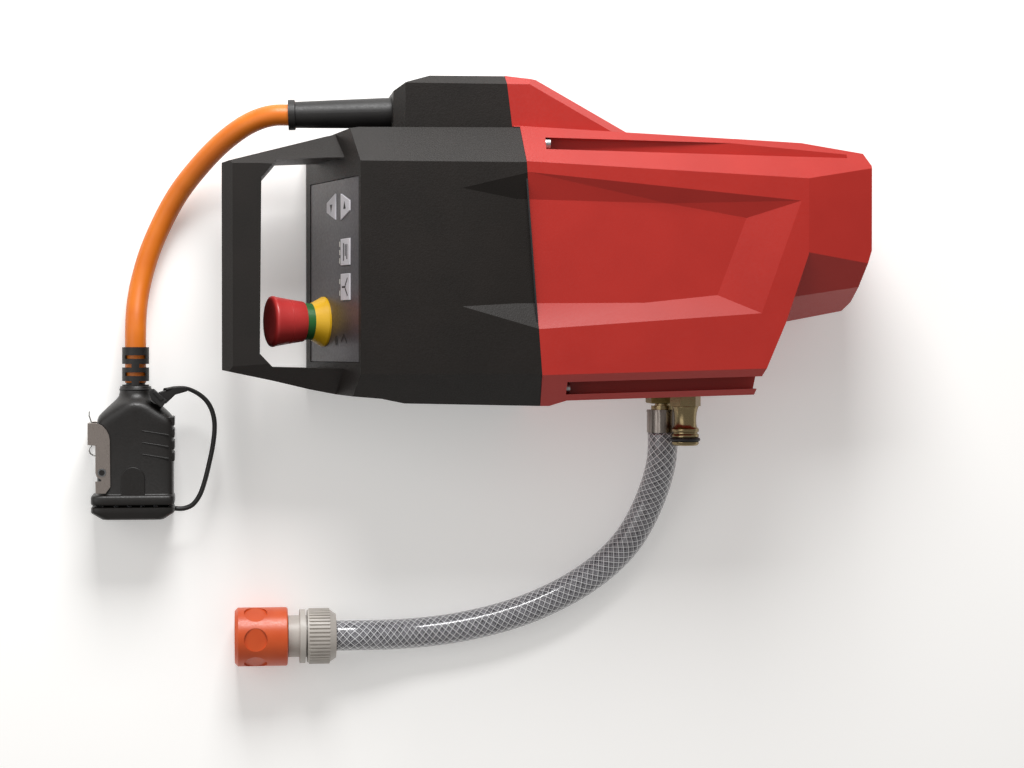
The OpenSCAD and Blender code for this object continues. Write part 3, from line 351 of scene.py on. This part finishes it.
def arch(x, y, radius, foot):
    """A round-headed outline that stands on foot."""
    head = [(x + radius * math.cos(a), y + radius * math.sin(a))
            for a in [math.pi * k / 16 for k in range(17)]]
    return [(x - radius, foot), (x + radius, foot)] + head


def make_plug_hood():
    """Round neck that swells into the flat-faced grip, its flange, and the hollow for the insert."""
    skin = loft("plug_hood_skin", [
        (-98.1, 9.2, 9.2, 2, 0), (-98.5, 9.6, 9.6, 2, 0), (-102, 9.8, 9.7, 2, 0),
        (-104.4, 10.4, 10.5, 2, 0), (-106.2, 11.9, 12.6, 2, 0), (-107.6, 13.3, 14.6, 2, 0),
        (-108.8, 14.7, 15.8, 2.1, 0), (-110, 16, 16.3, 2.3, 0), (-112, 18.1, 16.5, 2.7, 0),
        (-114.4, 20.6, 16.5, 3.4, 0), (-116.6, 22.4, 16.5, 4.4, 0), (-118.6, 23.1, 16.5, 6, 0),
        (-121, 23.25, 16.5, 8, 0), (-122, 23.25, 16.5, 8, 0), (-164, 23.25, 16.5, 8, 0),
        (-164.6, 23.4, 16.7, 8, 0),
        (-164.9, 24.2, 17.6, 9, -0.8), (-165.3, 25, 18.5, 10, -1.5), (-166.2, 25.5, 19, 10, -1.55),
        (-169.8, 25.5, 19, 10, -1.55), (-170.6, 25.2, 18.7, 10, -1.55), (-171, 24.6, 18.1, 10, -1.55),
        (-171, 20.6, 13.4, 10, 0), (-170.6, 20.25, 13, 10, 0), (-134, 20.25, 13, 10, 0),
    ])
    parts = [skin, slab(arch(-423.25, -154.8, 7.25, -165.5), 34, 36.4, 0.5)]
    for i in range(4):
        top = -116.8 - i * 7.3
        parts.append(slab(box(-402.75, top - 5.6, -398.05, top), 5.5, 32.5, 0.6))
    for i in range(3):
        y = -125 - i * 7.2
        parts.append(slab([(-417.6, y), (-401.4, y - 2.6), (-401.4, y - 3.6), (-417.6, y - 0.7)],
                          34.5, 35.85, 0.25))
    stands_for(joined("plug_hood_shell", parts), "plug_hood")


def make_dust_cap():
    """Hollow cap with a rounded rim and a tapered foot."""
    skin = loft("dust_cap_skin", [
        (-177.4, 18.6, 12.4, 10, 0), (-177, 19, 12.8, 10, 0), (-172.4, 20.2, 13.2, 10, 0),
        (-172.35, 24.8, 18.3, 10, -1.55), (-172.7, 25.3, 18.8, 10, -1.55),
        (-175.2, 25.45, 18.95, 10, -1.55), (-175.9, 25, 18.8, 10, -1.55),
        (-179.1, 20, 18.2, 9, -1.4), (-179.8, 18.8, 17.2, 9, -1.4),
        (-180, 17.6, 16.2, 9, -1.4),
    ])
    stands_for(joined("dust_cap_shell", [skin]), "dust_cap")


def make_neck_ring():
    """Ring clipped round the plug's neck, its buckle, and the wide end of the strap."""
    bpy.ops.mesh.primitive_torus_add(
        major_segments=64, minor_segments=16, major_radius=9.4 * MM, minor_radius=0.7 * MM,
        location=(PLUG.x * MM, -100.2 * MM, PLUG.z * MM), rotation=(math.radians(90), 0, 0))
    band = bpy.context.object
    bpy.ops.object.transform_apply(location=True, rotation=True, scale=True)
    band.data.name = "neck_band"
    buckle = slab([(-413.5, -101), (-410.9, -99.3), (-402.3, -106.9), (-405.9, -111.5), (-412, -106.4)],
                  27, 36.3, 0.8)
    pad = slab([(-411.2, -101.9), (-409.4, -100.6), (-404.2, -105.4), (-406, -107.4)], 35, 37, 0.5)
    strap = slab([(-408, -101.8), (-397, -98.2), (-390, -98.3), (-390, -101.3), (-397.5, -103.4),
                  (-403.6, -109.2)], 27.5, 31, 0.8)
    for corner in strap.data.vertices:
        corner.co.z -= max(0.0, corner.co.x + 0.4045) * 0.34
    ring = joined("neck_ring", [band, buckle, pad, strap])
    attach(ring, "casing")
    PIECE_SLOTS[ring] = "strap_rubber"


def lathe(name, axis, profile, sides=64):
    """A turned piece along -Y from a point on its axis: (distance, radius) rows, in millimetres."""
    turns = [2 * math.pi * k / sides for k in range(sides)]
    x, y, z = axis
    return skinned(name, [[(x + r * math.cos(a), y - d, z + r * math.sin(a)) for a in turns]
                          for d, r in profile])


def hexagon(across, low, high, place):
    """A hexagonal nut along -Y with its corners turned off, in millimetres."""
    nut = lathe("hexagon", place, [(low, across), (low + 0.01, across), (high - 0.01, across),
                                   (high, across)], 6)
    select_only(nut)
    round_edges(nut, 0.5, 2, CORNER_ANGLE)
    return nut


def make_inlet():
    """Brass block low on the casing's edge, and the turned nipple with its hexagon and seal groove."""
    block = slab(box(-100.5, -104.4, -69, -88), 12, 56, 1.0)
    boss = slab(box(-100.5, -109.6, -86.4, -95), 12, 34, 1.0)
    stands_for(joined("manifold_shell", [block, boss]), "manifold")
    r = NIPPLE_R
    skin = lathe("nipple_skin", NIPPLE, [
        (-4, 6.5), (-0.4, 6.5), (-0.2, 8.4), (0.6, 8.3), (2, 7.8), (4, 7.3), (6.5, 7), (9, 6.9), (11.2, 7),
        (12.6, 7.3), (13.6, 7.9), (14, 8.5), (14.3, r), (15.7, r), (16, r - 0.2), (16.3, r - 0.9),
        (17.1, r - 0.9), (17.4, r - 0.2), (17.6, r), (19.1, r), (19.4, r - 0.3), (19.6, r - 1.9),
        (21.9, r - 1.9), (22.1, r - 0.3), (22.3, r), (23.4, r), (24.1, r - 0.4), (24.6, r - 1.1),
        (24.6, 4.6), (24.3, 4.4), (4, 4.4),
    ])
    nut = hexagon(9.8, -6.6, 0, NIPPLE)
    stands_for(joined("inlet_nipple_shell", [skin, nut]), "inlet_nipple")


def make_pin_end_painted_shade():
    """Dark disc on the end of the lever's pin: painted shade that stands for the hollow in its end."""
    radius, sides = 1.8, 24
    turns = [2 * math.pi * k / sides for k in range(sides)]
    # a thin flat disc of the plug's black polyamide, as painted shade where the pin's hollow would be
    pin_end_painted_shade = slab([(PIN[0] + radius * math.cos(a), PIN[1] + radius * math.sin(a)) for a in turns],
                      37.5, 37.85, 0.1)
    pin_end_painted_shade.name = pin_end_painted_shade.data.name = "pin_end_painted_shade"
    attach(pin_end_painted_shade, "casing")
    PIECE_SLOTS[pin_end_painted_shade] = "plug_black"


make_inlet()
make_plug_hood()
make_dust_cap()
make_neck_ring()
make_pin_end_painted_shade()

# ---------- marks printed on the control panel ----------
PANEL_TILT = math.radians(15.7)
PANEL_ORIGIN = Vector((-288.1, 0, 112)) * MM
INK_HEIGHT = 0.08
STOP_HEAD_R = 15.7
STOP_PLACE = (-70, -58.4, 0)  # up the panel, across it, and off it
PANEL_FRAME = Matrix((
    (math.sin(PANEL_TILT), 0, -math.cos(PANEL_TILT)),
    (0, 1, 0),
    (math.cos(PANEL_TILT), 0, math.sin(PANEL_TILT)),
)).to_4x4()


def ink_shape(corners, size, centre, turn=0):
    """One flat printed shape in the panel's plane, sized and placed as (up, across) in millimetres."""
    bpy.ops.mesh.primitive_circle_add(vertices=corners, radius=1, fill_type="NGON")
    shape = bpy.context.object
    bpy.ops.object.mode_set(mode="EDIT")
    bpy.ops.mesh.select_all(action="SELECT")
    bpy.ops.mesh.extrude_region_move(TRANSFORM_OT_translate={"value": (0, 0, INK_HEIGHT)})
    bpy.ops.mesh.select_all(action="SELECT")
    bpy.ops.mesh.normals_make_consistent(inside=False)
    bpy.ops.object.mode_set(mode="OBJECT")
    round_part = Matrix.Rotation(math.radians(45 if corners == 4 else 0), 4, "Z")
    spread = Matrix.Diagonal((size[0] / 2, size[1] / 2, 1, 1))
    if corners == 4:
        spread = Matrix.Diagonal((size[0] * math.sqrt(0.5), size[1] * math.sqrt(0.5), 1, 1))
    shape.data.transform(
        Matrix.Translation((centre[0], centre[1], 0))
        @ Matrix.Rotation(math.radians(turn), 4, "Z") @ spread @ round_part
    )
    return shape


def ink_mark(name, shapes, place, rise, body):
    """Joins printed shapes into one mark that lies on the panel and rides with its body."""
    bpy.ops.object.select_all(action="DESELECT")
    parts = [ink_shape(*shape) for shape in shapes]
    select_only(*parts)
    if len(parts) > 1:
        bpy.ops.object.join()
    mark = bpy.context.object
    mark.name = mark.data.name = name
    mark.data.transform(Matrix.Translation((place[1], place[0], rise)))
    mark.data.transform(Matrix.Translation(PANEL_ORIGIN) @ PANEL_FRAME @ Matrix.Scale(MM, 4))
    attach(mark, body)
    return mark


def make_stop_head():
    """Turned mushroom head with a groove round its waist and a shallow dished face."""
    r = STOP_HEAD_R
    head = lathe("stop_head_skin", (0, 0, 0), [
        (19, 6.5), (19, 11.8), (13.3, 11.8), (13.3, r - 3.6), (13.6, r - 3.4), (22.4, r - 2),
        (22.6, r - 2.3), (22.9, r - 2.3), (23.1, r - 1.9), (31, r - 0.5), (32.2, r - 0.1),
        (33, r - 0.1), (33.7, r - 0.5), (34.2, r - 1.3),
        (34.4, r - 2.6), (34.2, r - 7), (34.1, 0.05)])
    head.data.transform(
        Matrix.Translation(PANEL_ORIGIN) @ PANEL_FRAME
        @ Matrix.Translation(Vector(STOP_PLACE) * MM) @ Matrix.Rotation(math.radians(-90), 4, "X"))
    stands_for(joined("stop_head_shell", [head]), "stop_head")


make_stop_head()
KEY_RISE = 0.3
FOIL_RISE = -0.34
MARKS = [
    ink_mark("up_arrow", [(3, (5.2, 6.2), (-0.6, 0), 0)], (10.3, -28), KEY_RISE, "up_key"),
    ink_mark("down_arrow", [(3, (5.2, 6.2), (0.6, 0), 180)], (11, -54.5), KEY_RISE, "down_key"),
    ink_mark("start_lines",
             [(4, (1.5, 10.5), (-2.4, 0)), (4, (1.5, 7), (0.8, 1)), (4, (1.5, 9), (3.8, 0))],
             (-17, -28), KEY_RISE, "start_key"),
    ink_mark("mode_fork", [(4, (6.5, 1.1), (-2.2, 0)), (4, (6.5, 1.1), (2.6, 3), 45),
                           (4, (6.5, 1.1), (2.6, -3), -45)], (-38, -28), KEY_RISE, "mode_key"),
    ink_mark("stop_dot", [(28, (5, 6), (0, 0))], (-70, -46), FOIL_RISE, "casing"),
    ink_mark("stop_tick", [(4, (7, 1.2), (-2, 1.6), 35), (4, (8, 1.2), (2.6, 1.2), -40)], (-70, -32),
             FOIL_RISE, "casing"),
]


# ---------- materials ----------
def linear(hex_colour):
    """An sRGB hex colour as linear red, green, blue and alpha."""
    channels = [int(hex_colour[i : i + 2], 16) / 255 for i in (1, 3, 5)]
    return tuple(c / 12.92 if c <= 0.04045 else ((c + 0.055) / 1.055) ** 2.4 for c in channels) + (1.0,)


def add(tree, kind, inputs=None, **settings):
    """Adds a node with its settings, and links or sets its inputs."""
    node = tree.nodes.new(kind)
    for name, value in settings.items():
        setattr(node, name, value)
    for socket, value in (inputs or {}).items():
        if isinstance(value, bpy.types.NodeSocket):
            tree.links.new(value, node.inputs[socket])
        else:
            node.inputs[socket].default_value = value
    return node


def new_material(name, **sockets):
    material = bpy.data.materials.new(name)
    material.use_nodes = True
    tree = material.node_tree
    shader = tree.nodes["Principled BSDF"]
    for socket, value in sockets.items():
        shader.inputs[socket.replace("_", " ")].default_value = value
    return material, tree, shader


def noise(tree, size, detail=2.0, stretch=(1, 1, 1)):
    """Noise on object coordinates, with its grain size in millimetres."""
    place = add(tree, "ShaderNodeTexCoord").outputs["Object"]
    spread = add(tree, "ShaderNodeMapping", {"Vector": place, "Scale": stretch}).outputs[0]
    return add(tree, "ShaderNodeTexNoise",
               {"Vector": spread, "Scale": 1 / (size * MM), "Detail": detail}).outputs[0]


def between(tree, share, dark, light, low=0.3, high=0.7):
    """A colour that goes from dark to light as share goes from low to high."""
    span = add(tree, "ShaderNodeMapRange", {0: share, 1: low, 2: high}).outputs[0]
    return add(tree, "ShaderNodeMix", {0: span, 6: linear(dark), 7: linear(light)},
               data_type="RGBA").outputs[2]


def range_of(tree, share, start, end, low=0.3, high=0.7):
    return add(tree, "ShaderNodeMapRange", {0: share, 1: low, 2: high, 3: start, 4: end}).outputs[0]


def bump(tree, shader, height, depth, strength=1.0):
    """Puts a height pattern of a depth in millimetres on the surface."""
    relief = add(tree, "ShaderNodeBump", {"Height": height, "Distance": depth * MM, "Strength": strength})
    tree.links.new(relief.outputs[0], shader.inputs["Normal"])


def paint(tree, shader, colour, roughness=None):
    tree.links.new(colour, shader.inputs["Base Color"])
    if roughness is not None:
        tree.links.new(roughness, shader.inputs["Roughness"])


def grained_polyamide():
    # Glass-filled polyamide from a spark-eroded mould: dull black-brown with a fine pebbled grain.
    # The real 0.5 mm grain is drawn 0.9 mm wide so that it shows.
    material, tree, shader = new_material(
        "glass_filled_polyamide_grained", IOR=1.53, Specular_IOR_Level=0.3)
    pebbles = noise(tree, 0.9, 3)
    patches = noise(tree, 30, 2)
    paint(tree, shader, between(tree, patches, "#14100D", "#1A1512"), range_of(tree, pebbles, 0.58, 0.44))
    bump(tree, shader, pebbles, 0.1)
    return material


def red_polyamide():
    # Self-coloured red polyamide with a satin mould finish: soft broad highlights, faint cloudiness
    material, tree, shader = new_material("polyamide_red_satin", IOR=1.53)
    clouds = noise(tree, 26, 2)
    grain = noise(tree, 0.9, 2)
    paint(tree, shader, between(tree, clouds, "#A81F15", "#AD2218"), range_of(tree, grain, 0.36, 0.48))
    bump(tree, shader, grain, 0.02)
    return material


def moulded(name, dark, light, rough=0.45, grain_size=1.0, depth=0.05, **sockets):
    """A moulded or rubber surface of one colour with a fine grain."""
    material, tree, shader = new_material(name, **sockets)
    grain = noise(tree, grain_size, 3)
    patches = noise(tree, 14, 1)
    paint(tree, shader, between(tree, patches, dark, light),
          range_of(tree, grain, rough - 0.06, rough + 0.08))
    bump(tree, shader, grain, depth)
    return material


def metal(name, dark, light, rough=0.25, stretch=(1, 1, 1), size=1.2, depth=0.02):
    """A metal surface whose tool marks run across the stretched axis."""
    material, tree, shader = new_material(name, Metallic=1.0)
    marks = noise(tree, size, 4, stretch)
    paint(tree, shader, between(tree, marks, dark, light),
          range_of(tree, marks, rough + 0.1, rough - 0.05))
    bump(tree, shader, marks, depth)
    return material


def braided_hose():
    # Clear soft PVC over a braid of white polyester threads: 12 threads each way that cross every 4.4 mm
    material, tree, shader = new_material(
        "clear_pvc_over_white_braid", IOR=1.53, Coat_Weight=1.0, Coat_Roughness=0.06, Coat_IOR=1.5,
        Roughness=0.35,
    )
    uv = add(tree, "ShaderNodeUVMap", uv_map="UVMap").outputs[0]
    split = add(tree, "ShaderNodeSeparateXYZ", {0: uv})
    threads, pitch = 12, 4.4 * MM
    def math_node(operation, *values):
        return add(tree, "ShaderNodeMath", dict(enumerate(values)), operation=operation).outputs[0]

    around = math_node("MULTIPLY", split.outputs[0], threads)
    along = math_node("DIVIDE", split.outputs[1], pitch)
    weaves = []
    for shift, thread in ((0.0, 0.085), (0.37, 0.06)):  # the near side's threads, then the far side's
        lines = []
        for way in ("ADD", "SUBTRACT"):
            turn = math_node("ADD", math_node(way, around, along), shift)
            fold = math_node("PINGPONG", turn, 0.5)
            lines.append(add(tree, "ShaderNodeMapRange",
                             {0: fold, 1: thread * 0.6, 2: thread, 3: 1.0, 4: 0.0}).outputs[0])
        weaves.append(math_node("MAXIMUM", *lines))
    near, far = weaves
    murk = noise(tree, 3.2, 2)
    deep = between(tree, murk, "#3C3B40", "#7A797F", 0.35, 0.65)
    clear = add(tree, "ShaderNodeMix", {0: far, 6: deep, 7: linear("#A3A3A9")}, data_type="RGBA")
    colour = add(tree, "ShaderNodeMix", {0: near, 6: clear.outputs[2], 7: linear("#EDEEF1")},
                 data_type="RGBA")
    paint(tree, shader, colour.outputs[2])
    bump(tree, shader, near, 0.12)
    return material


MATERIALS = {
    "black_housing": grained_polyamide(),
    "red_housing": red_polyamide(),
    "seal_rubber": moulded("nitrile_rubber_moulded", "#141416", "#1D1D1F", 0.5, IOR=1.5),
    "zinc_steel": metal("zinc_plated_steel", "#A4A6A8", "#C9CACC", 0.3),
    "cast_aluminium": metal("die_cast_aluminium", "#A2A4A6", "#BDBFC1", 0.38, depth=0.05),
    "panel_foil": moulded("polyester_foil_printed_grey", "#373438", "#3D3A3F", 0.36, 1.6, 0.01, IOR=1.57),
    "key_foil": moulded("polyester_foil_embossed_pale", "#C9C6CC", "#D3D0D5", 0.4, 1.6, 0.01, IOR=1.57),
    "circuit_board": moulded("solder_mask_green", "#1B5A30", "#256B3A", 0.35, IOR=1.5),
    "light_lens": moulded("polycarbonate_lens", "#D8D5CC", "#E6E3DA", 0.2, IOR=1.58),
    "stop_red": moulded("polyamide_signal_red", "#B0302F", "#BA3634", 0.36, 1.0, 0.02, IOR=1.53),
    "stop_green": moulded("polyamide_green", "#245A2A", "#2B6832", 0.4, 1.0, 0.02, IOR=1.53),
    "stop_yellow": moulded("polyamide_signal_yellow", "#D6A40C", "#E2B218", 0.38, 1.0, 0.02, IOR=1.53),
    "switch_plastic": moulded("polyamide_dark_grey", "#303134", "#3A3B3E", 0.5, IOR=1.53),
    "turned_steel": metal("turned_steel", "#8F9193", "#ABADAF", 0.25),
    "extruded_aluminium": metal("extruded_aluminium", "#9FA1A4", "#BABCBE", 0.32, (1, 0.1, 1)),
    "cable_sheath": moulded("polyurethane_cable_sheath_orange", "#D46C14", "#DC7619", 0.42, 1.2, 0.03,
                            IOR=1.49),
    "sleeve_rubber": moulded("moulded_rubber_black", "#121010", "#191716", 0.5, 0.9, 0.05, IOR=1.5),
    "plug_black": moulded("glass_filled_polyamide_black", "#0E0B09", "#14100E", 0.42, 0.8, 0.05, IOR=1.53),
    "contact_carrier": moulded("polyamide_grey", "#808288", "#8D8F95", 0.5, IOR=1.53),
    "stamped_steel": metal("stamped_stainless_steel", "#A89E98", "#B8AEA8", 0.3, (4, 0.3, 1), 0.8, 0.004),
    "spring_wire": metal("drawn_spring_wire", "#B4B4B2", "#D0D0CE", 0.15),
    "seal_orange": moulded("silicone_rubber_black", "#131111", "#1A1817", 0.5, IOR=1.43),
    "strap_rubber": moulded("rubber_strap_black", "#110F0F", "#181615", 0.48, 0.9, 0.04, IOR=1.5),
    "gear_steel": metal("hobbed_gear_steel", "#85878A", "#A1A3A6", 0.3),
    "bearing_steel": metal("ground_bearing_steel", "#A0A2A5", "#C2C4C6", 0.12),
    "motor_can": metal("zinc_plated_motor_can", "#54575B", "#6B6E72", 0.4),
    "armature_iron": moulded("varnished_iron_laminations", "#5B4331", "#71543D", 0.4),
    "cast_brass": metal("hot_pressed_brass", "#7A6A42", "#988454", 0.45, size=0.9, depth=0.08),
    "turned_brass": metal("turned_brass_polished", "#85765A", "#A6946F", 0.2, (1, 6, 1)),
    "crimped_steel": metal("stainless_steel_ferrule", "#6F6762", "#A89F98", 0.2, (1, 0.08, 1), 1.6),
    "hose_pvc": braided_hose(),
    "coupling_grey": moulded("polypropylene_warm_grey", "#B9B3AC", "#C4BEB7", 0.42, IOR=1.49),
    "coupling_orange": moulded("abs_orange", "#C94C1C", "#D35623", 0.38, 1.0, 0.03, IOR=1.54),
    "coupling_white": moulded("acetal_white", "#DCD9D2", "#E6E3DC", 0.4, IOR=1.48),
}

for piece, slot in PIECE_SLOTS.items():
    piece.data.materials.clear()
    piece.data.materials.append(MATERIALS[slot])
for node, slot in SLOTS.items():
    for holder in frame["nodes"][node].material_slots:
        holder.material = MATERIALS[slot]
for piece, slot in ((cable, "cable_sheath"), (hose, "hose_pvc"), (lanyard, "strap_rubber")):
    piece.data.materials.append(MATERIALS[slot])

ink = moulded("screen_ink_black", "#151415", "#1B1A1B", 0.5, IOR=1.5)
for mark in MARKS:
    mark.data.materials.append(ink)

# ---------- what the cords are ----------
for piece, node in ((cable, "power_cable"), (hose, "water_hose")):
    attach(piece, "casing")
    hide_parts(node)
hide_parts("cap_lanyard")
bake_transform(lanyard)


# ---------- stage ----------
LIGHTS = (  # place, aim, size in metres and power in watts: the key from the cable side, then the fill
    ((-0.28, 0.85, 0.62), (-0.22, 0.0, 0.08), 0.5, 14.5),
    ((-1.1, 0.1, 0.9), (-0.3, -0.05, 0.08), 0.9, 3),
)


def add_stage():
    floor_z = cad_box[0][2]
    bpy.ops.mesh.primitive_plane_add(size=12, location=(-0.2, -0.05, floor_z - 0.2 * MM))
    floor = bpy.context.object
    floor.name = "floor"
    material, tree, shader = new_material("studio_floor_pale", Roughness=0.8)
    shader.inputs["Base Color"].default_value = linear("#F4F3F1")
    shader.inputs["Emission Color"].default_value = linear("#FFFFFF")
    shader.inputs["Emission Strength"].default_value = 0.25
    floor.data.materials.append(material)
    world = bpy.data.worlds.new("studio")
    bpy.context.scene.world = world
    bpy.context.scene.view_settings.view_transform = "Standard"
    world.use_nodes = True
    backdrop = world.node_tree.nodes["Background"]
    backdrop.inputs[0].default_value = linear("#FBF8F4")
    backdrop.inputs[1].default_value = 0.34
    for place, aim, size, power in LIGHTS:
        bpy.ops.object.light_add(type="AREA", location=place)
        light = bpy.context.object
        light.data.size = size
        light.data.energy = power
        light.rotation_euler = (Vector(aim) - Vector(place)).to_track_quat("-Z", "Y").to_euler()


add_stage()
